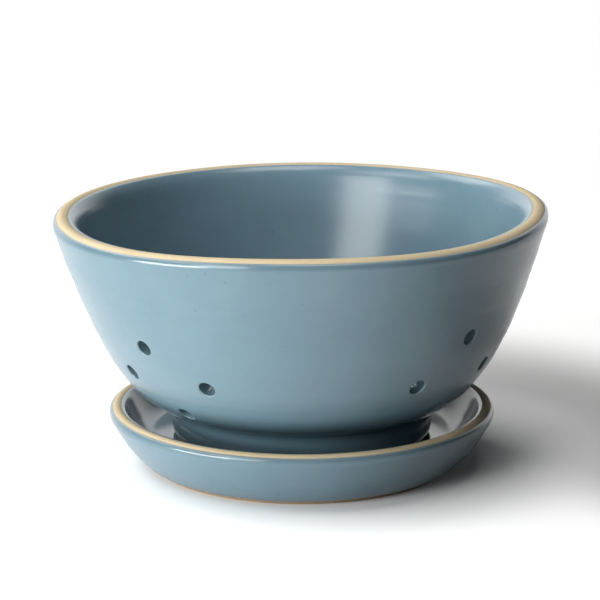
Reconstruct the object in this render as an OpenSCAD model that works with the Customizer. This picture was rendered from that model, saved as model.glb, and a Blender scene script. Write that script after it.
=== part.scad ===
// Berry colander: a thrown stoneware bowl with drain holes, standing on its drip saucer.
// Each is fired clay under a glaze coat that stops short of the rim and of the foot.
// Millimetres, +Z up, origin on the table under the middle of the saucer.

/* [Bowl] */
// Outer diameter of the bowl at its rim, over the glaze
bowl_d = 160; // [144:1:190]
// Height of the bowl from the bottom of its foot to the top of its rim
bowl_h = 75.2; // [66:0.1:90]
// Thickness of the clay in the rounded rim
bowl_rim_t = 5.9; // [5.4:0.1:7.5]
// Thickness of the clay wall half way up
bowl_wall_t = 5.4; // [4.5:0.1:6.5]
// Thickness of the clay floor
bowl_floor_t = 6.2; // [5:0.1:7.5]
// How far the wall leans out below the rim, in degrees from upright
bowl_lean = 17.5; // [14:0.5:24]
// How steeply the belly's underside leaves the foot, in degrees above level
belly_rise = 12; // [6:1:20]

/* [Bowl foot] */
// Outer diameter of the foot ring's clay where it stands
foot_d = 83.6; // [78:0.2:88]
// Width of the foot ring where it stands
foot_w = 6.2; // [5:0.1:8]
// Height from the bottom of the foot ring to the underside of the belly
foot_h = 11.4; // [10:0.1:13]
// How much wider the foot ring is at its top than where it stands, on the radius
foot_flare = 1.2; // [0.4:0.1:2]
// Radius of the hollow curve between the foot ring and the belly
foot_fillet = 1.4; // [1:0.1:2.4]
// Depth of the hollow inside the foot ring
foot_hollow = 8.4; // [6:0.1:9]

/* [Drain holes] */
// Diameter of a drain hole through the clay, before glaze lines it
hole_d = 6.2; // [5:0.1:7]
// Number of clusters of four holes round the wall
clusters = 4; // [3:1:4]
// Height of the middle of a cluster above the bottom of the foot
cluster_z = 29.6; // [28:0.1:32]
// Straight distance from the left to the right hole of a cluster
cluster_w = 33; // [24:0.5:36]
// Height from the lowest to the highest hole of a cluster
cluster_h = 24; // [20:0.5:25]
// Number of holes round the middle one in the floor
floor_holes = 4; // [3:1:6]
// Distance of those holes from the middle of the floor
floor_ring_r = 20; // [14:0.5:23]

/* [Saucer] */
// Outer diameter of the saucer at its rim, over the glaze
saucer_d = 126.2; // [120:0.2:140]
// Height of the saucer from the table to the top of its rim
saucer_h = 19.6; // [18:0.1:24]
// Thickness of the clay in the saucer's rounded rim
saucer_rim_t = 4.7; // [4:0.1:5.5]
// Thickness of the saucer's clay floor
saucer_floor_t = 5.4; // [4.5:0.1:6]
// How far the saucer's wall leans out below the rim, in degrees from upright
saucer_lean = 30; // [24:1:36]
// Flat width of the saucer's floor left free round the bowl's foot
foot_room = 6.2; // [4:0.1:7]

/* [Saucer foot] */
// Outer diameter of the saucer's clay where it stands
base_d = 100; // [96:0.2:104]
// Width of the saucer's foot ring where it stands
base_w = 6.4; // [5:0.1:8]
// Depth of the hollow under the saucer
base_hollow = 3.8; // [3:0.1:4.4]
// How steeply the saucer's outside leaves its foot, in degrees above level
base_rise = 28; // [20:1:40]

/* [Glaze] */
// Thickness of the glaze coat
glaze_t = 0.4; // [0.2:0.05:0.6]
// Where the bare clay of a rim starts on the outside, in degrees above level round its curve
bare_from = 38; // [25:1:50]
// Where it ends on the inside, in degrees round the same curve
bare_to = 118; // [105:1:130]
// Height of the bare clay at the bottom of both feet
bare_foot = 1; // [0.6:0.1:1.6]

/* [Hidden] */

clay_color = [0.86, 0.74, 0.55];
glaze_color = [0.46, 0.58, 0.65];

round_fn = 96;
hole_fn = 32;
// Straight steps along a wall's curve, and along a rim's or corner's arc
wall_steps = 16;
arc_steps = 5;
// One overrun serves every drilled hole
overrun = 2;
// Width of the bevel on both edges of a foot ring
foot_bevel = 0.8;
// Radius of the corner at the top of a foot's hollow
hollow_corner_r = 2.4;

// How far the two ends of each curve pull, as shares of the straight line between them
bowl_wall_shares = [0.26, 0.31];
bowl_floor_shares = [0.35, 0.35];
saucer_wall_shares = [0.3, 0.3];
saucer_well_shares = [0.25, 0.4];
// Radius of the bowl's flat floor, as a share of its foot's
flat_floor_share = 0.72;

// Places of the top, left, right and bottom hole of each cluster, as shares of half its width
// and half its height. They are drilled by hand, so no two clusters are quite alike.
cluster_shares = [
    [[-0.2, 0.96], [-1.02, -0.03], [0.97, 0.02], [0.05, -1.01]],
    [[0.01, 1.2], [-0.9, -0.02], [1.06, 0.07], [0.04, -0.96]],
    [[0.07, 1.03], [-1.03, 0.05], [0.95, -0.04], [-0.06, -1.02]],
    [[0.1, 1.08], [-0.98, 0.02], [1.01, -0.06], [-0.09, -0.98]]
];
// Direction of the first cluster, in degrees from the front towards the right
first_cluster = -45;

// Points, arcs and curves in the plane of a turned outline
function dir(a) = [cos(a), sin(a)];
function arc(centre, r, from, to) =
    [for (i = [0 : arc_steps]) centre + r * dir(from + (to - from) * i / arc_steps)];
function pulls(p, q, p_dir, q_dir, shares) =
    [p, p + shares[0] * norm(q - p) * dir(p_dir), q - shares[1] * norm(q - p) * dir(q_dir), q];
function bend(c, t) =
    pow(1 - t, 3) * c[0] + 3 * pow(1 - t, 2) * t * c[1]
    + 3 * (1 - t) * pow(t, 2) * c[2] + pow(t, 3) * c[3];
function curve(c, steps) = [for (i = [0 : steps]) bend(c, i / steps)];
function rest(list) = [for (i = [1 : len(list) - 1]) list[i]];
function reversed(list) = [for (i = [len(list) - 1 : -1 : 0]) list[i]];
function ease(u) = u * u * (3 - 2 * u);
// Unit vector to the right of a path at its point i
function right(path, i) =
    let (along = path[min(i + 1, len(path) - 1)] - path[max(i - 1, 0)])
    [along[1], -along[0]] / norm(along);
// Path moved to its right by d
function moved(path, d) = [for (i = [0 : len(path) - 1]) path[i] + d * right(path, i)];

// Bowl, measured from the bottom of its own foot
rim_r = bowl_rim_t / 2;
rim_c = [bowl_d / 2 - glaze_t - rim_r, bowl_h - rim_r];
foot_r = foot_d / 2;
foot_in_r = foot_r - foot_w;
foot_top_r = foot_r + foot_flare;
floor_z = foot_hollow + bowl_floor_t;

foot_corner = arc([foot_top_r + foot_fillet, foot_h - foot_fillet], foot_fillet, 180, 90 + belly_rise);
belly_start = foot_corner[arc_steps];
lip_start = rim_c + rim_r * dir(-bowl_lean);
wall = curve(pulls(belly_start, lip_start, belly_rise, 90 - bowl_lean, bowl_wall_shares), wall_steps);
// The wall's thickness runs from the floor's to the wall's, and on to the rim's
function thickness(u) =
    u < 0.5 ? bowl_floor_t + (bowl_wall_t - bowl_floor_t) * ease(2 * u)
            : bowl_wall_t + (bowl_rim_t - bowl_wall_t) * ease(2 * u - 1);
inner_wall = reversed([for (i = [0 : wall_steps])
    wall[i] - thickness(i / wall_steps) * right(wall, i)]);
floor_edge = [flat_floor_share * foot_r, floor_z];
inner_floor = curve(pulls(inner_wall[wall_steps], floor_edge, 180 + belly_rise, 180,
                          bowl_floor_shares), arc_steps);

rim_outside = arc(rim_c, rim_r, -bowl_lean, bare_from);
rim_bare = arc(rim_c, rim_r, bare_from, bare_to);
rim_inside = arc(rim_c, rim_r, bare_to, 180 - bowl_lean);

bowl_outside = concat([[foot_r, bare_foot]], foot_corner, rest(wall), rest(rim_outside));
bowl_inside = concat(rim_inside, rest(inner_wall), rest(inner_floor), [[0, floor_z]]);
bowl_outline = concat(
    [[0, foot_hollow]],
    arc([foot_in_r - hollow_corner_r, foot_hollow - hollow_corner_r], hollow_corner_r, 90, 0),
    [[foot_in_r, bare_foot], [foot_in_r + foot_bevel, 0], [foot_r - foot_bevel, 0]],
    bowl_outside,
    rest(rim_bare),
    rest(bowl_inside));

// Saucer, measured from the table
dish_rim_r = saucer_rim_t / 2;
dish_rim_c = [saucer_d / 2 - glaze_t - dish_rim_r, saucer_h - dish_rim_r];
base_r = base_d / 2;
base_in_r = base_r - base_w;
dish_floor_z = base_hollow + saucer_floor_t;
well_edge = [foot_r + foot_room, dish_floor_z];

dish_lip_start = dish_rim_c + dish_rim_r * dir(-saucer_lean);
dish_lip_end = dish_rim_c + dish_rim_r * dir(180 - saucer_lean);
dish_wall = curve(pulls([base_r, bare_foot], dish_lip_start, base_rise, 90 - saucer_lean,
                        saucer_wall_shares), wall_steps);
well_wall = curve(pulls(dish_lip_end, well_edge, 270 - saucer_lean, 180,
                        saucer_well_shares), wall_steps);

dish_rim_outside = arc(dish_rim_c, dish_rim_r, -saucer_lean, bare_from);
dish_rim_bare = arc(dish_rim_c, dish_rim_r, bare_from, bare_to);
dish_rim_inside = arc(dish_rim_c, dish_rim_r, bare_to, 180 - saucer_lean);

saucer_outside = concat(dish_wall, rest(dish_rim_outside));
saucer_inside = concat(dish_rim_inside, rest(well_wall), [[0, dish_floor_z]]);
saucer_outline = concat(
    [[0, base_hollow]],
    arc([base_in_r - hollow_corner_r, base_hollow - hollow_corner_r], hollow_corner_r, 90, 0),
    [[base_in_r, bare_foot], [base_in_r + foot_bevel, 0], [base_r - foot_bevel, 0]],
    saucer_outside,
    rest(dish_rim_bare),
    rest(saucer_inside));

// The bowl's foot stands on the glaze of the saucer's floor
bowl_z = dish_floor_z + glaze_t;

// Where a hole at height z meets the wall's outside, and how far the wall leans out there
function wall_r(z) = lookup(z, [for (p = wall) [p[1], p[0]]]);
function wall_lean(z) = atan2(wall_r(z + hole_d / 2) - wall_r(z - hole_d / 2), hole_d);
half_cluster = asin(cluster_w / 2 / wall_r(cluster_z));
drill_depth = max(bowl_rim_t, bowl_wall_t, bowl_floor_t) + overrun;
lining_d = hole_d - 2 * glaze_t;

module turned(outline) rotate_extrude($fn = round_fn) polygon(outline);

module coat(path) turned(concat(path, reversed(moved(path, glaze_t))));

// Drills d wide at every hole, square to the wall or floor
module drills(d) {
    for (i = [0 : clusters - 1], share = cluster_shares[i]) {
        z = cluster_z + share[1] * cluster_h / 2;
        rotate(first_cluster + i * 360 / clusters + share[0] * half_cluster)
            translate([0, -wall_r(z), z])
            rotate([90 + wall_lean(z), 0, 0])
            translate([0, 0, -drill_depth])
            cylinder(d = d, h = drill_depth + overrun, $fn = hole_fn);
    }
    translate([0, 0, foot_hollow - overrun]) {
        cylinder(d = d, h = bowl_floor_t + 2 * overrun, $fn = hole_fn);
        for (i = [0 : floor_holes - 1])
            rotate(first_cluster + i * 360 / floor_holes)
                translate([0, -floor_ring_r, 0])
                cylinder(d = d, h = bowl_floor_t + 2 * overrun, $fn = hole_fn);
    }
}

module bowl_clay() {
    color(clay_color) translate([0, 0, bowl_z]) difference() {
        turned(bowl_outline);
        drills(hole_d);
    }
}

module bowl_outer_glaze() {
    color(glaze_color) translate([0, 0, bowl_z]) difference() {
        coat(bowl_outside);
        drills(lining_d);
    }
}

module bowl_inner_glaze() {
    color(glaze_color) translate([0, 0, bowl_z]) difference() {
        coat(bowl_inside);
        drills(lining_d);
    }
}

// Glaze that lines each drain hole, through the thickness of the clay
module drain_hole_glaze() {
    color(glaze_color) translate([0, 0, bowl_z]) intersection() {
        turned(bowl_outline);
        difference() {
            drills(hole_d);
            drills(lining_d);
        }
    }
}

module saucer_clay() {
    color(clay_color) turned(saucer_outline);
}

module saucer_outer_glaze() {
    color(glaze_color) coat(saucer_outside);
}

module saucer_inner_glaze() {
    color(glaze_color) coat(saucer_inside);
}

bowl_clay();
bowl_outer_glaze();
bowl_inner_glaze();
drain_hole_glaze();
saucer_clay();
saucer_outer_glaze();
saucer_inner_glaze();
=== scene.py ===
import math

import bpy
from mathutils import Matrix, Vector
from mathutils.kdtree import KDTree


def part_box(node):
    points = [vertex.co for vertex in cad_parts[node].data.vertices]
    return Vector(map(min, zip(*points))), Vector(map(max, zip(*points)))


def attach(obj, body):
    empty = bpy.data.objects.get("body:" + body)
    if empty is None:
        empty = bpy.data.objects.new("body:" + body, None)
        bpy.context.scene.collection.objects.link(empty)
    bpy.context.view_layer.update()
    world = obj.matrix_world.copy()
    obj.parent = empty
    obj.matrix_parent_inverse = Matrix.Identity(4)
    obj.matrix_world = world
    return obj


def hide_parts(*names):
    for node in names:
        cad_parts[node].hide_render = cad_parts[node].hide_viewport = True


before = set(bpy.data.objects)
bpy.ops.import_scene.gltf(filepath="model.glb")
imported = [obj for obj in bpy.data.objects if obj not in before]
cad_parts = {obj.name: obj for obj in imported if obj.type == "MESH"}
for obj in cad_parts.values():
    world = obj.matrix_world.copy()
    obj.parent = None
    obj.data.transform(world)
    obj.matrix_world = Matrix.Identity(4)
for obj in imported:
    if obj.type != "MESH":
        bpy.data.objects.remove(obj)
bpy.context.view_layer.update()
print("frame: loaded,", len(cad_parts), "nodes")

mm = 0.001
clayLow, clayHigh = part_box("bowl_clay")
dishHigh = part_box("saucer_clay")[1]

# Both pieces wear the same coat: dipped, wiped off the rims and feet
coat = {
    "thick": 0.4,
    "under": -0.3,         # depth of the coat's own solid below the bare clay
    "underSlope": 0.5,     # how steeply that solid dives in from the coat's edge
    "edge": 0.8,           # length over which the coat thins out to nothing
    "edgeCurve": 0.6,      # below 1 the coat rises steeply at first
    "bareFrom": 38,        # degrees round a rim's curve, from level outside
    "bareTo": 118,
    "bareFoot": 1.0,
    "marksFrom": 1.5,      # distance from the coat's edge at which wheel marks begin
    "marksGrow": 5,        # and the length over which they reach their full depth
    "unevenSize": 0.018,   # metres, as is the next one
    "unevenDepth": 0.00009,
    "turnSteps": 220,
    "cornerSteps": 6,
    "samePoint": 0.01,     # points of an outline that are closer than this become one
    "weld": 0.005,         # and so do corners of a turned piece
    "bead": (0.2, 0.7, 1.6, 2.8),   # below a rim, distances from the edge where the darker bead rises and falls; its darkening is pooled glaze and painted shade
    "beadPoolAndShade": 0.22,
}

# Wheel marks as waves across the wall: size as a share of the marks' depth, millimetres for each
# radian of the wave, shift in radians, and the share of the drift that the wave follows
throwing = {
    "marks": [(0.4, 0.83, 0, 1), (0.25, 0.49, 1.3, 0), (1.2, 1.9, 0.4, 0)],
    "drift": 0.9,
    "driftLength": 7.3,
}


def heading(angle):
    return Vector((math.cos(math.radians(angle)), math.sin(math.radians(angle))))


def arc(centre, radius, start, end, steps):
    return [centre + radius * heading(start + (end - start) * i / steps) for i in range(steps + 1)]


# A smooth curve between two headings; crowd above 1 sets its points closer towards the end
def pulledCurve(start, end, startHeading, endHeading, pulls, steps, crowd=1):
    span = (end - start).length
    near = start + pulls[0] * span * heading(startHeading)
    far = end - pulls[1] * span * heading(endHeading)
    points = []
    for i in range(steps + 1):
        t = 1 - (1 - i / steps) ** crowd
        points.append((1 - t) ** 3 * start + 3 * (1 - t) ** 2 * t * near
                      + 3 * (1 - t) * t ** 2 * far + t ** 3 * end)
    return points


def rightOf(path, i):
    along = path[min(i + 1, len(path) - 1)] - path[max(i - 1, 0)]
    return Vector((along.y, -along.x)).normalized()


def ease(u):
    u = min(max(u, 0), 1)
    return u * u * (3 - 2 * u)


def line(start, end, steps):
    return [start.lerp(end, i / steps) for i in range(steps + 1)]


plain = (0, 0)


# A stretch of outline is its points, whether it is glazed, and how deep its wheel marks are
# at its start and end
def joined(stretches):
    points, glazed, marks = [], [], []
    for path, isGlazed, (firstMark, lastMark) in stretches:
        for i, point in enumerate(path):
            if points and (point - points[-1]).length < coat["samePoint"]:
                continue
            points.append(point)
            glazed.append(isGlazed)
            marks.append(firstMark + (lastMark - firstMark) * i / (len(path) - 1))
    return points, glazed, marks


def wheelMarks(reach):
    drift = throwing["drift"] * math.sin(reach / throwing["driftLength"])
    return sum(size * math.sin(reach / length + shift + follow * drift)
               for size, length, shift, follow in throwing["marks"])


# The coat's own outline: proud of the glazed clay, under the bare clay, thin along its edges
def coated(outline):
    points, glazed, marks = outline
    reach = [0]
    for i in range(1, len(points)):
        reach.append(reach[-1] + (points[i] - points[i - 1]).length)
    edges = [(reach[i] + reach[i - 1]) / 2 for i in range(1, len(points)) if glazed[i] != glazed[i - 1]]
    path = []
    for i, point in enumerate(points):
        nearest = min(abs(reach[i] - edge) for edge in edges)
        if glazed[i]:
            grown = ease((nearest - coat["marksFrom"]) / coat["marksGrow"])
            depth = coat["thick"] * min(1, nearest / coat["edge"]) ** coat["edgeCurve"]
            depth += grown * marks[i] * wheelMarks(reach[i])
        else:
            depth = max(coat["under"], -coat["underSlope"] * nearest)
        path.append(point + depth * rightOf(points, i))
    path[0].x = path[-1].x = 0
    return path


def deselect():
    if bpy.context.mode != "OBJECT":
        bpy.ops.object.mode_set(mode="OBJECT")
    bpy.ops.object.select_all(action="DESELECT")


def choose(*objects):
    deselect()
    for thing in objects:
        thing.select_set(True)
    bpy.context.view_layer.objects.active = objects[0]


def useModifier(thing, kind, **settings):
    choose(thing)
    modifier = thing.modifiers.new(kind.lower(), kind)
    for key, value in settings.items():
        setattr(modifier, key, value)
    bpy.ops.object.modifier_apply(modifier=modifier.name)


# Turns an outline in millimetres round the Z axis, as on a wheel that stands at height base
def turned(name, path, base):
    deselect()
    start = Vector((path[0].x, 0, path[0].y + base)) * mm
    bpy.ops.mesh.primitive_plane_add(size=mm, location=start)
    piece = bpy.context.object
    piece.name = piece.data.name = name
    bpy.ops.object.transform_apply(location=True, rotation=True, scale=True)
    bpy.ops.object.mode_set(mode="EDIT")
    bpy.ops.mesh.select_all(action="SELECT")
    bpy.ops.mesh.merge(type="CENTER")
    for i in range(1, len(path)):
        step = (path[i] - path[i - 1]) * mm
        bpy.ops.mesh.extrude_region_move(TRANSFORM_OT_translate={"value": (step.x, 0, step.y)})
    bpy.ops.mesh.select_all(action="SELECT")
    bpy.ops.mesh.spin(steps=coat["turnSteps"], angle=math.tau, use_auto_merge=True,
                      center=(0, 0, 0), axis=(0, 0, 1))
    bpy.ops.mesh.select_all(action="SELECT")
    bpy.ops.mesh.remove_doubles(threshold=coat["weld"] * mm)
    bpy.ops.mesh.normals_make_consistent(inside=False)
    bpy.ops.object.mode_set(mode="OBJECT")
    print("turned:", name, len(piece.data.polygons), "faces")
    return piece


def cutWith(piece, cutter):
    useModifier(piece, "BOOLEAN", operation="DIFFERENCE", solver="MANIFOLD", object=cutter)


# Keeps three values with each point: its distance from the nearest edge of the coat and its
# place across the wheel marks, both in millimetres, and the share of darkening: pooled glaze and painted
# shade
def markPlaces(piece, outline, base, rim):
    points, glazed, marks = outline
    edges = [(points[i] + points[i - 1]) / 2 for i in range(1, len(points)) if glazed[i] != glazed[i - 1]]
    lines = piece.data.attributes.new("glazeLine", "FLOAT", "POINT")
    wheel = piece.data.attributes.new("wheel", "FLOAT", "POINT")
    poolShade = piece.data.attributes.new("poolAndShade", "FLOAT", "POINT")
    rise, full, fall, end = coat["bead"]
    for i, vertex in enumerate(piece.data.vertices):
        here = Vector((math.hypot(vertex.co.x, vertex.co.y) / mm, vertex.co.z / mm - base))
        lines.data[i].value = min((here - edge).length for edge in edges)
        wheel.data[i].value = here.x + here.y
        if here.x > rim:
            distance = lines.data[i].value
            bead = ease((distance - rise) / (full - rise)) * (1 - ease((distance - fall) / (end - fall)))
            # painted shade below the rim, together with pooled glaze: a darker bead
            poolShade.data[i].value = coat["beadPoolAndShade"] * bead


def leaveOut(*objects):
    for thing in objects:
        bpy.data.objects.remove(thing, do_unlink=True)


bowl = {
    "seat": clayLow.z / mm,
    "height": (clayHigh.z - clayLow.z) / mm,
    "radius": clayHigh.x / mm,
    "rimThick": 5.9,
    "innerRound": 6.5,     # radius of the rim's inner shoulder, which is rounder than the outer one
    "wallThick": 5.4,
    "floorThick": 6.2,
    "lean": 17.5,
    "bellyRise": 12,
    "wallPulls": (0.25, 0.38),
    "floorPulls": (0.35, 0.35),
    "footRadius": 41.8,
    "footWidth": 6.2,
    "footHeight": 11.4,
    "footFlare": 1.2,
    "footFillet": 1.4,
    "footBevel": 0.8,
    "hollow": 8.4,
    "hollowCorner": 2.4,
    "flatFloorShare": 0.72,
    "outerMarks": 0.045,
    "innerMarks": 0.010,
    "rimMarks": 0.07,
    "rimMarkPoints": 9,    # points of the inner wall over which the marks by the rim die down
    "rimCrowd": 1.3,
    "shoulderGap": 0.1,    # least distance from the inner shoulder to the next point of the wall
    "wallSteps": 84,
    "claySteps": 26,
    "underSteps": 6,
    "footSteps": 14,
    "shoulderSteps": 10,
    "bandSteps": 14,
    "innerRimSteps": 16,
    "bendSteps": 10,
    "floorSteps": 12,
}


def bowlWall(steps):
    rimRadius = bowl["rimThick"] / 2
    rim = Vector((bowl["radius"] - rimRadius, bowl["height"] - rimRadius))
    corner = Vector((bowl["footRadius"] + bowl["footFlare"] + bowl["footFillet"],
                     bowl["footHeight"] - bowl["footFillet"]))
    footCorner = arc(corner, bowl["footFillet"], 180, 90 + bowl["bellyRise"], coat["cornerSteps"])
    lip = rim + rimRadius * heading(-bowl["lean"])
    wall = pulledCurve(footCorner[-1], lip, bowl["bellyRise"], 90 - bowl["lean"], bowl["wallPulls"],
                       steps, bowl["rimCrowd"])
    return rim, rimRadius, footCorner, wall


# Thickness of the wall where the inner shoulder ends
def shoulderThickness():
    bend = math.radians(180 - bowl["lean"] - coat["bareTo"])
    return bowl["rimThick"] + (bowl["innerRound"] - bowl["rimThick"] / 2) * (1 - math.cos(bend))


# Thickness of the wall at share u of its points, from the foot up
def wallThickness(u):
    u = 1 - (1 - u) ** bowl["rimCrowd"]
    if u < 0.5:
        return bowl["floorThick"] + (bowl["wallThick"] - bowl["floorThick"]) * ease(2 * u)
    return bowl["wallThick"] + (shoulderThickness() - bowl["wallThick"]) * ease(2 * u - 1)


def bowlOutline(steps):
    rim, rimRadius, footCorner, wall = bowlWall(steps)
    shoulder = rim + (rimRadius - bowl["innerRound"]) * heading(coat["bareTo"])
    innerRim = arc(shoulder, bowl["innerRound"], coat["bareTo"], 180 - bowl["lean"], bowl["innerRimSteps"])
    down = heading(270 - bowl["lean"])
    inner = [wall[i] - wallThickness(i / steps) * rightOf(wall, i) for i in range(steps, -1, -1)]
    inner = [point for point in inner if (point - innerRim[-1]).dot(down) > bowl["shoulderGap"]]
    floorHeight = bowl["hollow"] + bowl["floorThick"]
    floorEdge = Vector((bowl["flatFloorShare"] * bowl["footRadius"], floorHeight))
    floorBend = pulledCurve(inner[-1], floorEdge, 180 + bowl["bellyRise"], 180, bowl["floorPulls"],
                            bowl["bendSteps"])
    footInner = bowl["footRadius"] - bowl["footWidth"]
    hollow = arc(Vector((footInner - bowl["hollowCorner"], bowl["hollow"] - bowl["hollowCorner"])),
                 bowl["hollowCorner"], 90, 0, coat["cornerSteps"])
    footSide = Vector((bowl["footRadius"], coat["bareFoot"]))
    under = line(Vector((0, bowl["hollow"])), hollow[0], bowl["underSteps"]) + hollow + [
        Vector((footInner, coat["bareFoot"])),
        Vector((footInner + bowl["footBevel"], 0)),
        Vector((bowl["footRadius"] - bowl["footBevel"], 0)),
        footSide]
    outside = (bowl["outerMarks"],) * 2
    inside = (bowl["innerMarks"],) * 2
    byRim = min(bowl["rimMarkPoints"], steps // 2)
    return joined([
        (under, False, plain),
        (line(footSide, footCorner[0], bowl["footSteps"]), True, plain),
        (footCorner, True, plain),
        (wall, True, outside),
        (arc(rim, rimRadius, -bowl["lean"], coat["bareFrom"], bowl["shoulderSteps"]), True, plain),
        (arc(rim, rimRadius, coat["bareFrom"], coat["bareTo"], bowl["bandSteps"]), False, plain),
        (innerRim, True, plain),
        (inner[:byRim], True, (bowl["rimMarks"], bowl["innerMarks"])),
        (inner[byRim:], True, inside),
        (floorBend, True, inside),
        (line(floorEdge, Vector((0, floorHeight)), bowl["floorSteps"]), True, inside),
    ])


dish = {
    "radius": dishHigh.x / mm,
    "height": dishHigh.z / mm,
    "rimThick": 4.7,
    "floorThick": 5.4,
    "lean": 30,
    "flatFloorRadius": 48.0,
    "baseRadius": 50.0,
    "baseWidth": 6.4,
    "baseBevel": 0.8,
    "baseRise": 28,
    "hollow": 3.8,
    "hollowCorner": 2.4,
    "wallPulls": (0.3, 0.3),
    "wellPulls": (0.25, 0.4),
    "outerMarks": 0.02,
    "innerMarks": 0.02,
    "wallSteps": 26,
    "underSteps": 8,
    "shoulderSteps": 10,
    "bandSteps": 12,
    "innerRimSteps": 8,
    "floorSteps": 24,
}


def dishOutline(steps):
    rimRadius = dish["rimThick"] / 2
    rim = Vector((dish["radius"] - rimRadius, dish["height"] - rimRadius))
    lip = rim + rimRadius * heading(-dish["lean"])
    innerLip = rim + rimRadius * heading(180 - dish["lean"])
    floorHeight = dish["hollow"] + dish["floorThick"]
    baseSide = Vector((dish["baseRadius"], coat["bareFoot"]))
    wellEdge = Vector((dish["flatFloorRadius"], floorHeight))
    baseInner = dish["baseRadius"] - dish["baseWidth"]
    hollow = arc(Vector((baseInner - dish["hollowCorner"], dish["hollow"] - dish["hollowCorner"])),
                 dish["hollowCorner"], 90, 0, coat["cornerSteps"])
    under = line(Vector((0, dish["hollow"])), hollow[0], dish["underSteps"]) + hollow + [
        Vector((baseInner, coat["bareFoot"])),
        Vector((baseInner + dish["baseBevel"], 0)),
        Vector((dish["baseRadius"] - dish["baseBevel"], 0)),
        baseSide]
    wall = pulledCurve(baseSide, lip, dish["baseRise"], 90 - dish["lean"], dish["wallPulls"], steps)
    well = pulledCurve(innerLip, wellEdge, 270 - dish["lean"], 180, dish["wellPulls"], steps)
    outside = (dish["outerMarks"],) * 2
    inside = (dish["innerMarks"],) * 2
    return joined([
        (under, False, plain),
        (wall, True, outside),
        (arc(rim, rimRadius, -dish["lean"], coat["bareFrom"], dish["shoulderSteps"]), True, plain),
        (arc(rim, rimRadius, coat["bareFrom"], coat["bareTo"], dish["bandSteps"]), False, plain),
        (arc(rim, rimRadius, coat["bareTo"], 180 - dish["lean"], dish["innerRimSteps"]), True, plain),
        (well, True, inside),
        (line(wellEdge, Vector((0, floorHeight)), dish["floorSteps"]), True, inside),
    ])


def uneven(piece):
    clouds = bpy.data.textures.new("unevenCoat", "CLOUDS")
    clouds.noise_scale = coat["unevenSize"]
    clouds.noise_depth = 1
    useModifier(piece, "DISPLACE", texture=clouds, texture_coords="LOCAL",
                strength=coat["unevenDepth"], mid_level=0.5)


# Drain holes, placed as the potter marks them out: by cluster, then by eye
drain = {
    "clayRadius": 3.1,
    "lipReach": 0.45,      # how far the glazed lip of a hole rolls outwards
    "lipDepth": 0.45,
    "lipSteps": 7,
    "beyond": 2,           # how far a cutter reaches past the wall
    "clusterHeight": 29.6,
    "clusterHalfWidth": 16.5,
    "clusterHalfHeight": 12,
    "firstCluster": -45,
    "wallPoints": 200,     # fineness with which the wall is searched for a height
    "floorRing": 20,
    "floorHoles": 4,
    "sides": 48,
    "clusterShares": [
        [(-0.2, 0.96), (-1.02, -0.03), (0.97, 0.02), (0.05, -1.01)],
        [(0.01, 1.2), (-0.9, -0.02), (1.06, 0.07), (0.04, -0.96)],
        [(0.07, 1.03), (-1.03, 0.05), (0.95, -0.04), (-0.06, -1.02)],
        [(0.1, 1.08), (-0.98, 0.02), (1.01, -0.06), (-0.09, -0.98)],
    ],
}


def wallAt(wall, height):
    for i in range(1, len(wall)):
        if wall[i].y >= height:
            share = (height - wall[i - 1].y) / (wall[i].y - wall[i - 1].y)
            here = wall[i - 1].lerp(wall[i], share)
            along = wall[i] - wall[i - 1]
            return here.x, math.atan2(along.x, along.y), (i - 1 + share) / (len(wall) - 1)


def drainPlaces():
    wall = bowlWall(drain["wallPoints"])[3]
    places = []
    halfTurn = math.asin(drain["clusterHalfWidth"] / wallAt(wall, drain["clusterHeight"])[0])
    for i, shares in enumerate(drain["clusterShares"]):
        for across, up in shares:
            height = drain["clusterHeight"] + up * drain["clusterHalfHeight"]
            radius, lean, u = wallAt(wall, height)
            spread = drain["clayRadius"]
            bend = (wallAt(wall, height - spread)[1] - wallAt(wall, height + spread)[1]) / (2 * spread)
            turn = math.radians(drain["firstCluster"] + i * 90) + across * halfTurn
            matrix = (Matrix.Rotation(turn, 4, "Z")
                      @ Matrix.Translation(Vector((0, -radius, height + bowl["seat"])) * mm)
                      @ Matrix.Rotation(math.pi / 2 + lean, 4, "X"))
            places.append((matrix, wallThickness(u), math.cos(lean) / radius, bend * math.cos(lean)))
    return places


def floorPlaces():
    rings = [(0, 0)]
    for i in range(drain["floorHoles"]):
        rings.append((drain["floorRing"], math.radians(drain["firstCluster"] + i * 90)))
    places = []
    for radius, turn in rings:
        matrix = (Matrix.Rotation(turn, 4, "Z")
                  @ Matrix.Translation(Vector((0, -radius, bowl["seat"] + bowl["hollow"])) * mm)
                  @ Matrix.Rotation(math.pi, 4, "X"))
        places.append((matrix, bowl["floorThick"], 0, 0))
    return places


# A round cutter along Z, from (height, radius) rings
def drillBit(name, rings):
    deselect()
    bpy.ops.mesh.primitive_circle_add(vertices=drain["sides"], radius=rings[0][1] * mm,
                                      fill_type="NGON", location=(0, 0, rings[0][0] * mm))
    bit = bpy.context.object
    bit.name = name
    bpy.ops.object.transform_apply(location=True, rotation=True, scale=True)
    bpy.ops.object.mode_set(mode="EDIT")
    bpy.ops.mesh.select_all(action="SELECT")
    for i in range(1, len(rings)):
        height, radius = rings[i]
        grow = radius / rings[i - 1][1]
        bpy.ops.mesh.extrude_region_move(
            TRANSFORM_OT_translate={"value": (0, 0, (height - rings[i - 1][0]) * mm)})
        if grow != 1:
            bpy.ops.transform.resize(value=(grow, grow, 1), center_override=(0, 0, height * mm))
    bpy.ops.mesh.select_all(action="SELECT")
    bpy.ops.mesh.normals_make_consistent(inside=False)
    bpy.ops.object.mode_set(mode="OBJECT")
    return bit


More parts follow.
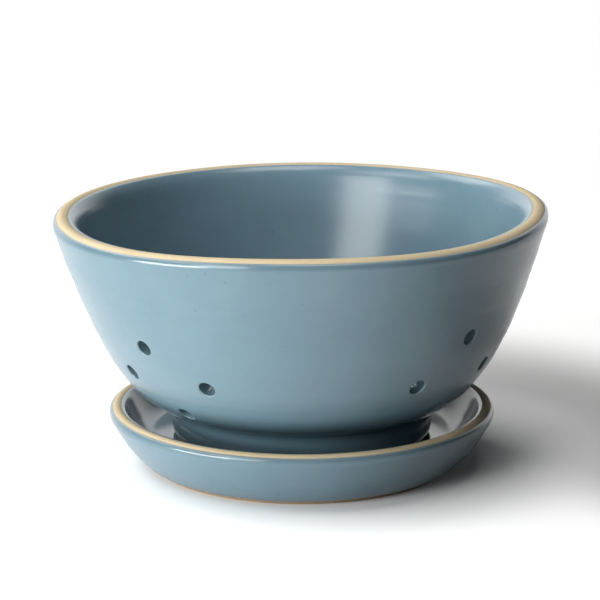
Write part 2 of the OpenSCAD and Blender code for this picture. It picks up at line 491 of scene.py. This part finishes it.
# Rings of a hole's glazed lip: a quarter of an ellipse that ends level with the surface
def lipRings(surface, radius, outward):
    rings = []
    for i in range(drain["lipSteps"] + 1):
        angle = math.pi / 2 * i / drain["lipSteps"]
        rings.append((surface - outward * drain["lipDepth"] * (1 - math.sin(angle)),
                      radius + drain["lipReach"] * (1 - math.cos(angle))))
    return rings


def drilled(piece, bits):
    copies = []
    for bit, places in bits:
        for matrix, thick, across, along in places:
            copy = bit.copy()
            copy.data = bit.data.copy()
            bpy.context.collection.objects.link(copy)
            stretch = thick / bowl["wallThick"]
            for vertex in copy.data.vertices:
                sag = (vertex.co.x ** 2 * across + vertex.co.y ** 2 * along) / (2 * mm)
                if vertex.co.z < 0:
                    vertex.co.z *= stretch
                vertex.co.z -= sag
            copy.data.transform(matrix)
            copies.append(copy)
    choose(*copies)
    bpy.ops.object.join()
    cutter = bpy.context.object
    cutWith(piece, cutter)
    leaveOut(cutter)


def glazeBits():
    radius = drain["clayRadius"] - coat["thick"]
    outside = coat["thick"]
    inside = -bowl["wallThick"] - coat["thick"]
    wide = radius + drain["lipReach"]
    outer = lipRings(outside, radius, 1)
    inner = lipRings(inside, radius, -1) + [(inside - drain["beyond"], wide)]
    wallBit = drillBit("wallBit", [(outside + drain["beyond"], wide)] + outer[::-1] + inner)
    floorBit = drillBit("floorBit", [(drain["beyond"], radius)] + inner)
    return wallBit, floorBit


def clayBit():
    reach = bowl["wallThick"] + drain["beyond"]
    return drillBit("clayBit", [(drain["beyond"], drain["clayRadius"]), (-reach, drain["clayRadius"])])


# Darker glaze in the holes and in the corner over the foot, partly pooled glaze and partly painted shade
# where these places lie in shadow, and thin glaze on the holes' lips
poolingAndShade = {
    "holeDepth": 1.1,      # depth in a hole at which the pooled glaze and painted shade are full
    "overFoot": 11,        # how far up the belly the pooled glaze and painted shade over the foot reach
    "downFoot": 4,         # and how far down the foot it thins
    "footShadeShare": 0.95,
    "downShare": 0.5,      # by which it thins there
    "facing": 0.1,         # upward part of the normal, above which a point is not on the outside
    "lipLine": 0.45,       # thinnest place on a lip, as a distance from the coat's edge
    "lipSlope": 2.5,
    "lipCrest": 0.2,
    "lipEnd": 0.9,
    "around": 1,           # how far past a hole's mouth points are looked at
}


def markPoolAndShade(piece, places):
    poolShade = piece.data.attributes["poolAndShade"]
    lines = piece.data.attributes["glazeLine"]
    vertices = piece.data.vertices
    tree = KDTree(len(vertices))
    for i, vertex in enumerate(vertices):
        tree.insert(vertex.co, i)
        height = vertex.co.z / mm - bowl["seat"]
        beyond = math.hypot(vertex.co.x, vertex.co.y) / mm - bowl["footRadius"]
        # painted shade on the belly over the foot and on the foot's side, together with pooled glaze
        if beyond > -coat["thick"] / 2 and vertex.normal.z < poolingAndShade["facing"]:
            over = height - bowl["footHeight"]
            share = 1 - ease(over / poolingAndShade["overFoot"])
            share *= 1 - poolingAndShade["downShare"] * ease(-over / poolingAndShade["downFoot"])
            poolShade.data[i].value = max(poolShade.data[i].value, poolingAndShade["footShadeShare"] * share)
    tree.balance()
    bore = drain["clayRadius"] - coat["thick"]
    for matrix, thick, across, along in places:
        back = matrix.inverted()
        middle = matrix @ Vector((0, 0, -thick / 2 * mm))
        for place, i, distance in tree.find_range(middle, (thick / 2 + bore + poolingAndShade["around"]) * mm):
            x, y, z = (back @ place) / mm
            depth = min(coat["thick"] - z, z + thick + coat["thick"])
            out = math.hypot(x, y) - bore
            # painted shade inside the holes, together with pooled glaze
            if out < drain["lipReach"]:
                poolShade.data[i].value = max(poolShade.data[i].value, ease(depth / poolingAndShade["holeDepth"]))
            fromLip = math.hypot(max(out, 0), max(depth, 0))
            thinness = poolingAndShade["lipLine"] + poolingAndShade["lipSlope"] * abs(fromLip - poolingAndShade["lipCrest"])
            if thinness < poolingAndShade["lipEnd"]:
                lines.data[i].value = min(lines.data[i].value, thinness)


def makeBowl():
    outline = bowlOutline(bowl["claySteps"])
    clay = turned("bowlClay", outline[0], bowl["seat"])
    glaze = turned("bowlGlaze", coated(bowlOutline(bowl["wallSteps"])), bowl["seat"])
    uneven(glaze)
    wallBit, floorBit = glazeBits()
    drilled(glaze, [(wallBit, drainPlaces()), (floorBit, floorPlaces())])
    plainBit = clayBit()
    drilled(clay, [(plainBit, drainPlaces() + floorPlaces())])
    leaveOut(wallBit, floorBit, plainBit)
    cutWith(glaze, clay)
    for piece in (clay, glaze):
        markPlaces(piece, outline, bowl["seat"], bowl["radius"] - bowl["rimThick"] / 2)
    markPoolAndShade(glaze, drainPlaces() + floorPlaces())
    return clay, glaze


def makeDish():
    outline = dishOutline(dish["wallSteps"])
    clay = turned("saucerClay", outline[0], 0)
    glaze = turned("saucerGlaze", coated(outline), 0)
    uneven(glaze)
    cutWith(glaze, clay)
    for piece in (clay, glaze):
        markPlaces(piece, outline, 0, dish["radius"] - dish["rimThick"] / 2)
    choose(glaze)
    bpy.ops.mesh.separate(type="LOOSE")
    coats = sorted(bpy.context.selected_objects, key=lambda layer: -layer.dimensions.x)
    print("saucer coats:", [round(layer.dimensions.x / mm, 1) for layer in coats])
    coats[0].name = coats[0].data.name = "saucerOuterGlaze"
    coats[1].name = coats[1].data.name = "saucerInnerGlaze"
    return clay, coats[0], coats[1]


# A thrown rim is never quite level or round: waves round it, up and outwards, as their number,
# their size in millimetres and the turn of their crests
wobble = {
    "waves": [(1, 1.18, 73), (3, 0.48, -14), (4, 0.35, -6)],
    "spread": [(1, 0.5, -117), (2, 0.42, -49), (3, 0.2, -13)],
    "drop": 0.34,          # the whole rim sits this much lower
    "from": 34,            # height above the foot at which the wall starts to stray
    "to": 74,              # and at which it strays in full
    "over": 4,             # how far the lattice reaches over the rim
    "points": 8,
    "width": 0.17,
}


def waves(kind, turn):
    return sum(size * math.cos(math.radians(count * (turn - crest))) for count, size, crest in wobble[kind])


# One lattice carries clay and coat together
def throwUneven(pieces):
    low = bowl["seat"] * mm
    tall = (bowl["height"] + wobble["over"]) * mm
    wide = wobble["width"]
    deselect()
    bpy.ops.object.add(type="LATTICE", location=(0, 0, low + tall / 2))
    lattice = bpy.context.object
    lattice.scale = (wide, wide, tall)
    for axis in "uvw":
        setattr(lattice.data, "points_" + axis, wobble["points"])
        setattr(lattice.data, "interpolation_type_" + axis, "KEY_BSPLINE")
    for point in lattice.data.points:
        turn = math.degrees(math.atan2(point.co.x, -point.co.y))
        height = (point.co.z + 0.5) * tall / mm
        share = ease((height - wobble["from"]) / (wobble["to"] - wobble["from"]))
        lift = waves("waves", turn) - wobble["drop"]
        point.co_deform.z = point.co.z + share * lift * mm / tall
        out = share * waves("spread", turn) / bowl["radius"]
        point.co_deform.x = point.co.x * (1 + out)
        point.co_deform.y = point.co.y * (1 + out)
    for piece in pieces:
        useModifier(piece, "LATTICE", object=lattice)
    leaveOut(lattice)


bowlClay, bowlGlaze = makeBowl()
throwUneven([bowlClay, bowlGlaze])
saucerClay, saucerOuterGlaze, saucerInnerGlaze = makeDish()


# A value in a material: sums on it add their own nodes
class Flow:
    tree = None

    def __init__(self, socket):
        self.socket = socket

    @classmethod
    def node(cls, kind, settings, inputs, output=0):
        node = cls.tree.nodes.new("ShaderNode" + kind)
        for key, value in settings.items():
            setattr(node, key, value)
        for key, value in inputs.items():
            if isinstance(value, Flow):
                cls.tree.links.new(value.socket, node.inputs[key])
            elif hasattr(value, "__len__") and node.inputs[key].type == "RGBA":
                node.inputs[key].default_value = (*value, 1)
            else:
                node.inputs[key].default_value = value
        return cls(node.outputs[output] if node.outputs else None)

    @classmethod
    def sum(cls, operation, *values):
        return cls.node("Math", {"operation": operation}, dict(enumerate(values)))

    def __add__(self, other):
        return Flow.sum("ADD", self, other)

    def __sub__(self, other):
        return Flow.sum("SUBTRACT", self, other)

    def __rsub__(self, other):
        return Flow.sum("SUBTRACT", other, self)

    def __mul__(self, other):
        return Flow.sum("MULTIPLY", self, other)

    __radd__ = __add__
    __rmul__ = __mul__

    # 0 up to low, 1 from high, smooth between
    def between(self, low, high):
        return Flow.node("MapRange", {"interpolation_type": "SMOOTHSTEP"},
                         {"Value": self, "From Min": low, "From Max": high})


def mixed(share, first, second):
    return Flow.node("Mix", {"data_type": "RGBA"}, {0: share, 6: first, 7: second}, 2)


def noise(at, scale, detail=2, rough=0.5, distortion=0):
    return Flow.node("TexNoise", {}, {"Vector": at, "Scale": scale, "Detail": detail,
                                      "Roughness": rough, "Distortion": distortion})


def newMaterial(name):
    material = bpy.data.materials.new(name)
    material.use_nodes = True
    Flow.tree = material.node_tree
    Flow.tree.nodes.clear()
    return material


def surface(inputs, height):
    bump = Flow.node("Bump", {}, {"Strength": 1, "Distance": mm, "Height": height})
    shader = Flow.node("BsdfPrincipled", {}, {**inputs, "Normal": bump})
    Flow.node("OutputMaterial", {}, {"Surface": shader})


def kept(name):
    return Flow.node("Attribute", {"attribute_name": name}, {}, 2)


# Place on the piece, and the same place in rings: one way across the wheel marks, two along them
def ringPlace(look):
    place = Flow.node("TexCoord", {}, {}, 3)
    x, y = [Flow.node("SeparateXYZ", {}, {0: place}, i) for i in range(2)]
    across = kept("wheel") * (1 / look["ringPitch"])
    rings = Flow.node("CombineXYZ", {}, {0: across, 1: x * look["ringAlong"], 2: y * look["ringAlong"]})
    return place, rings


# Round spots in cells of one scale, with a soft edge, only in some patches of another scale
def spots(place, scale, edge, patchScale, patchEdge):
    cells = Flow.node("TexVoronoi", {"feature": "F1"}, {"Vector": place, "Scale": scale, "Randomness": 1})
    return (1 - cells.between(*edge)) * noise(place, patchScale, 0).between(*patchEdge)


# 1 along the coat's edge and 0 away from it, with a wavering limit
def byEdge(place, scale, waver, limits):
    return 1 - (kept("glazeLine") + (noise(place, scale) - 0.5) * waver).between(*limits)


glazeLook = {
    "deep": (0.122, 0.208, 0.254),
    "pale": (0.154, 0.245, 0.291),
    "violet": (0.144, 0.216, 0.280),
    # colour of pooled glaze and of painted shade in the holes, over the foot and below the rim
    "poolAndShade": (0.020, 0.042, 0.052),
    "thinTint": (0.34, 0.35, 0.31),
    "speck": (0.085, 0.125, 0.150),
    # Each noise is its scale, detail, roughness and distortion, as far as it isn't the usual
    "cloudNoise": (38, 3, 0.55, 0.6),
    "ringNoise": (1, 3, 0.6),
    "ringShare": 0.1,        # of the body's tone; the clouds have the rest
    "toneLimits": (0.2, 0.85),
    "fineNoise": (950, 2, 0.6),
    "fineLimits": (0.35, 0.75),
    "fineShare": 0.24,
    "violetNoise": (130, 2, 0.6),
    "violetLimits": (0.35, 0.65),
    "violetShare": 0.35,
    "specks": (210, (0.05, 0.16), 160, (0.60, 0.66)),
    "speckShare": 0.3,
    "pits": (130, (0.03, 0.09), 75, (0.66, 0.70)),
    "thinEdge": (700, 0.5, (0.1, 1.3)),
    "thinShare": 0.28,
    "thinRough": 0.12,
    "satin": (0.225, 0.27),  # roughness from and to; past 0.27 the denoiser outlines patches
    "glossy": (0.12, 0.19),
    "roughNoise": (55, 3, 0.6),
    "poolShine": 0.28,       # how much smoother pooled glaze is
    "ringPitch": 2.4,
    "ringAlong": 9,
    "ringDepth": 0.010,      # millimetres, as are the next two
    "peelDepth": 0.010,
    "pitDepth": 0.03,
    "peelNoise": (620, 1),
    "refraction": 1.52,
}


def glazeMaterial(name, finish):
    look = glazeLook
    material = newMaterial(name)
    place, rings = ringPlace(look)
    clouds = noise(place, *look["cloudNoise"])
    ringTone = noise(rings, *look["ringNoise"])
    tone = (clouds * (1 - look["ringShare"]) + ringTone * look["ringShare"]).between(*look["toneLimits"])
    body = mixed(tone, look["deep"], look["pale"])
    fine = noise(place, *look["fineNoise"]).between(*look["fineLimits"])
    body = mixed(fine * look["fineShare"], body, look["pale"])
    violet = noise(place, *look["violetNoise"]).between(*look["violetLimits"])
    body = mixed(violet * look["violetShare"], body, look["violet"])
    body = mixed(spots(place, *look["specks"]) * look["speckShare"], body, look["speck"])
    thin = byEdge(place, *look["thinEdge"])
    body = mixed(thin * look["thinShare"], body, look["thinTint"])
    # pooled glaze and painted shade
    body = mixed(kept("poolAndShade"), body, look["poolAndShade"])
    height = (ringTone * look["ringDepth"] + noise(place, *look["peelNoise"]) * look["peelDepth"]
              - spots(place, *look["pits"]) * look["pitDepth"])
    low, high = look[finish]
    rough = (noise(place, *look["roughNoise"]) * (high - low) + low + thin * look["thinRough"]
             - kept("poolAndShade") * look["poolShine"])
    surface({"Base Color": body, "Roughness": rough, "IOR": look["refraction"]}, height)
    return material


clayLook = {
    "light": (0.60, 0.50, 0.33),
    "dark": (0.52, 0.415, 0.255),
    "toast": (0.42, 0.31, 0.185),    # where the glaze ends
    "foot": (0.30, 0.19, 0.10),      # painted shade on the bare feet and undersides
    "speck": (0.30, 0.20, 0.10),
    "patchNoise": (60, 3, 0.6),
    "streakNoise": (1, 3, 0.6),
    "grainNoise": (1500, 3, 0.7),
    "patchShare": 0.5,
    "streakShare": 0.35,
    "grainShare": 0.3,
    "toneLimits": (0.35, 0.80),
    "specks": (620, (0.10, 0.30), 410, (0.56, 0.62)),
    "speckShare": 0.25,
    "toastEdge": (500, 0.6, (0.0, 0.9)),
    "toastShare": 0.35,
    "footLimits": (60, 75),          # radius and height together, in millimetres
    "footShadeShare": 0.8,
    "rough": 0.72,
    "roughMore": 0.2,
    "roughNoise": (300, 2),
    "ringPitch": 1.1,
    "ringAlong": 9,
    "ringDepth": 0.03,
    "grainDepth": 0.035,
    "refraction": 1.45,
}


def clayMaterial(name):
    look = clayLook
    material = newMaterial(name)
    place, rings = ringPlace(look)
    patch = noise(place, *look["patchNoise"])
    streak = noise(rings, *look["streakNoise"])
    grain = noise(place, *look["grainNoise"])
    tone = patch * look["patchShare"] + streak * look["streakShare"] + grain * look["grainShare"]
    body = mixed(tone.between(*look["toneLimits"]), look["dark"], look["light"])
    body = mixed(spots(place, *look["specks"]) * look["speckShare"], body, look["speck"])
    body = mixed(byEdge(place, *look["toastEdge"]) * look["toastShare"], body, look["toast"])
    # painted shade: the bare clay low on the feet and under the pieces is darkened
    footShade = 1 - kept("wheel").between(*look["footLimits"])
    body = mixed(footShade * look["footShadeShare"], body, look["foot"])
    rough = look["rough"] + noise(place, *look["roughNoise"]) * look["roughMore"]
    height = streak * look["ringDepth"] + grain * look["grainDepth"]
    surface({"Base Color": body, "Roughness": rough, "IOR": look["refraction"]}, height)
    return material


glazeFinish = glazeMaterial("blueGlaze", "satin")
wellFinish = glazeMaterial("blueGlazeWell", "glossy")
clayFinish = clayMaterial("buffStoneware")

crease = 35   # degrees above which an edge stays sharp

table = [
    (bowlClay, clayFinish, "bowl", "bare_clay", ["bowl_clay"]),
    (bowlGlaze, glazeFinish, "bowl", "satin_glaze",
     ["bowl_outer_glaze", "bowl_inner_glaze", "drain_hole_glaze"]),
    (saucerClay, clayFinish, "saucer", "bare_clay", ["saucer_clay"]),
    (saucerOuterGlaze, glazeFinish, "saucer", "satin_glaze", ["saucer_outer_glaze"]),
    (saucerInnerGlaze, wellFinish, "saucer", "satin_glaze", ["saucer_inner_glaze"]),
]
for piece, material, body, slot, nodes in table:
    piece.data.materials.clear()
    piece.data.materials.append(material)
    choose(piece)
    bpy.ops.object.shade_smooth_by_angle(angle=math.radians(crease))
    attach(piece, body)
    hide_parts(*nodes)
    print("made:", piece.name, sum(len(face.vertices) - 2 for face in piece.data.polygons), "triangles")


photo = {
    "side": 600,             # the photograph's width and height in pixels
    "focal": 2842,           # focal length in the same pixels
    "turn": -3,              # degrees round the object from its front
    "rise": 14.02,
    "distance": 0.927,
    "aim": (0, 0, 0.0537),
    "middle": 301.8,         # pixel column of the object's axis
    "sensor": 36,
    "nearest": 0.05,         # metres from the camera at which the picture begins
}


def fromAround(centre, turn, rise, distance):
    turn, rise = math.radians(turn), math.radians(rise)
    return Vector(centre) + distance * Vector((math.sin(turn) * math.cos(rise),
                                               -math.cos(turn) * math.cos(rise), math.sin(rise)))


def aimAt(thing, centre):
    thing.rotation_euler = (Vector(centre) - thing.location).to_track_quat("-Z", "Y").to_euler()


deselect()
bpy.ops.object.camera_add(location=fromAround(photo["aim"], photo["turn"], photo["rise"], photo["distance"]))
camera = bpy.context.object
aimAt(camera, photo["aim"])
camera.data.sensor_width = photo["sensor"]
camera.data.lens = photo["focal"] / photo["side"] * photo["sensor"]
camera.data.shift_x = (photo["side"] / 2 - photo["middle"]) / photo["side"]
camera.data.clip_start = photo["nearest"]
bpy.context.scene.camera = camera

studio = {
    "aim": (0, 0, 0.05),
    # Softboxes, with turns from the camera's direction
    "window": {"turn": -37, "rise": 19, "distance": 1.5, "size": (0.66, 0.76), "power": 12},
    "lowWindow": {"turn": -60, "rise": 4, "distance": 1.5, "size": (0.95, 0.36), "power": 20.5},
    "highWindow": {"turn": -65, "rise": 52, "distance": 1.5, "size": (0.9, 0.6), "power": 6.2},
    "backLeft": {"turn": -132, "rise": 45, "distance": 1.5, "size": (0.9, 0.6), "power": 8},
    "ceiling": {"turn": 30, "rise": 82, "distance": 1.5, "size": (0.7, 0.7), "power": 8.2},
    "backdrop": 1.5,                 # what shines in the glaze from behind
    "room": 0.05,                    # and from all round
    "backdropLimits": (0.45, 0.85),  # how far to the back the first sets in
    "floorSide": 8,
    "floorDrop": 0.0002,
    "paper": (0.96, 0.96, 0.95),
    "paperBounce": (0.64, 0.64, 0.62),  # what it throws back at the piece
    "dimBounce": (0.08, 0.08, 0.08),    # and on the side away from the light
    "brightSide": 0.62,              # what it gives on top of that on the side of the light
    "floorGlow": 0.25,               # lifts the floor to white where no shadow falls
    "shadowGlow": 0.02,
    "shadowDepth": 0.36,             # darkens the far part of the shadow
    # Metres from the middle, or from the middle towards the light, between which each sets in
    "bounceLimits": (-0.07, 0.04),
    "brightLimits": (0, 0.16),
    "shadeLimits": (-0.085, -0.04),
    "shadeEnd": (0.13, 0.20),
    "depthLimits": (0.075, 0.12),
    "contact": (0.055, 0.095),       # the floor's lift, so that it is dark close to the piece
    "contactTilt": 0.35,
    "floorClear": (0.26, 0.55),      # the floor turns plain white between these distances
}


def softbox(name):
    box = studio[name]
    deselect()
    bpy.ops.object.light_add(type="AREA", location=fromAround(studio["aim"], box["turn"] + photo["turn"],
                                                              box["rise"], box["distance"]))
    lamp = bpy.context.object
    lamp.name = name
    aimAt(lamp, studio["aim"])
    lamp.data.shape = "RECTANGLE"
    lamp.data.size, lamp.data.size_y = box["size"]
    lamp.data.energy = box["power"]


for lampName in ("window", "lowWindow", "highWindow", "backLeft", "ceiling"):
    softbox(lampName)


def makeWorld():
    world = bpy.data.worlds.new("studio")
    bpy.context.scene.world = world
    world.use_nodes = True
    Flow.tree = world.node_tree
    Flow.tree.nodes.clear()
    direction = Flow.node("TexCoord", {}, {}, 0)
    behind = Flow.node("SeparateXYZ", {}, {0: direction}, 1)
    shining = Flow.node("LightPath", {}, {}, 3)
    sweep = behind.between(*studio["backdropLimits"]) * (studio["backdrop"] - studio["room"])
    level = (sweep + studio["room"]) * shining
    seen = Flow.node("LightPath", {}, {}, 0)
    strength = level * (1 - seen) + seen
    lit = Flow.node("Background", {}, {"Color": (1, 1, 1), "Strength": strength})
    Flow.node("OutputWorld", {}, {"Surface": lit})


def makeFloor():
    deselect()
    bpy.ops.mesh.primitive_plane_add(size=studio["floorSide"], location=(0, 0, -studio["floorDrop"]))
    floor = bpy.context.object
    floor.name = floor.data.name = "studioFloor"
    material = newMaterial("paper")
    place = Flow.node("TexCoord", {}, {}, 3)
    away = Flow.node("VectorMath", {"operation": "LENGTH"}, {0: place}, 1)
    seen = Flow.node("LightPath", {}, {}, 0) + Flow.node("LightPath", {}, {}, 3)
    toward = math.radians(studio["lowWindow"]["turn"] + photo["turn"])
    x, y = [Flow.node("SeparateXYZ", {}, {0: place}, i) for i in range(2)]
    near = x * math.sin(toward) - y * math.cos(toward)
    bounce = mixed(near.between(*studio["bounceLimits"]), studio["dimBounce"], studio["paperBounce"])
    bright = near.between(*studio["brightLimits"]) * studio["brightSide"]
    shade = (1 - near.between(*studio["shadeLimits"])) * (1 - away.between(*studio["shadeEnd"]))
    clearOfBase = (away + near * studio["contactTilt"]).between(*studio["contact"])
    lift = clearOfBase * (1 - shade) * studio["floorGlow"] + studio["shadowGlow"]
    dark = shade * away.between(*studio["depthLimits"]) * studio["shadowDepth"]
    sheet = mixed(dark, studio["paper"], (0, 0, 0))
    paper = Flow.node("BsdfDiffuse", {}, {"Color": mixed(seen, bounce, sheet)})
    glow = Flow.node("Emission", {}, {"Color": (1, 1, 1), "Strength": seen * lift + (1 - seen) * bright})
    lifted = Flow.node("AddShader", {}, {0: paper, 1: glow})
    white = Flow.node("Emission", {}, {"Color": (1, 1, 1), "Strength": 1})
    clear = away.between(*studio["floorClear"]) * seen
    Flow.node("OutputMaterial", {}, {"Surface": Flow.node("MixShader", {}, {0: clear, 1: lifted, 2: white})})
    floor.data.materials.append(material)


makeWorld()
makeFloor()
bpy.context.scene.view_settings.view_transform = "Standard"
print("studio: done")
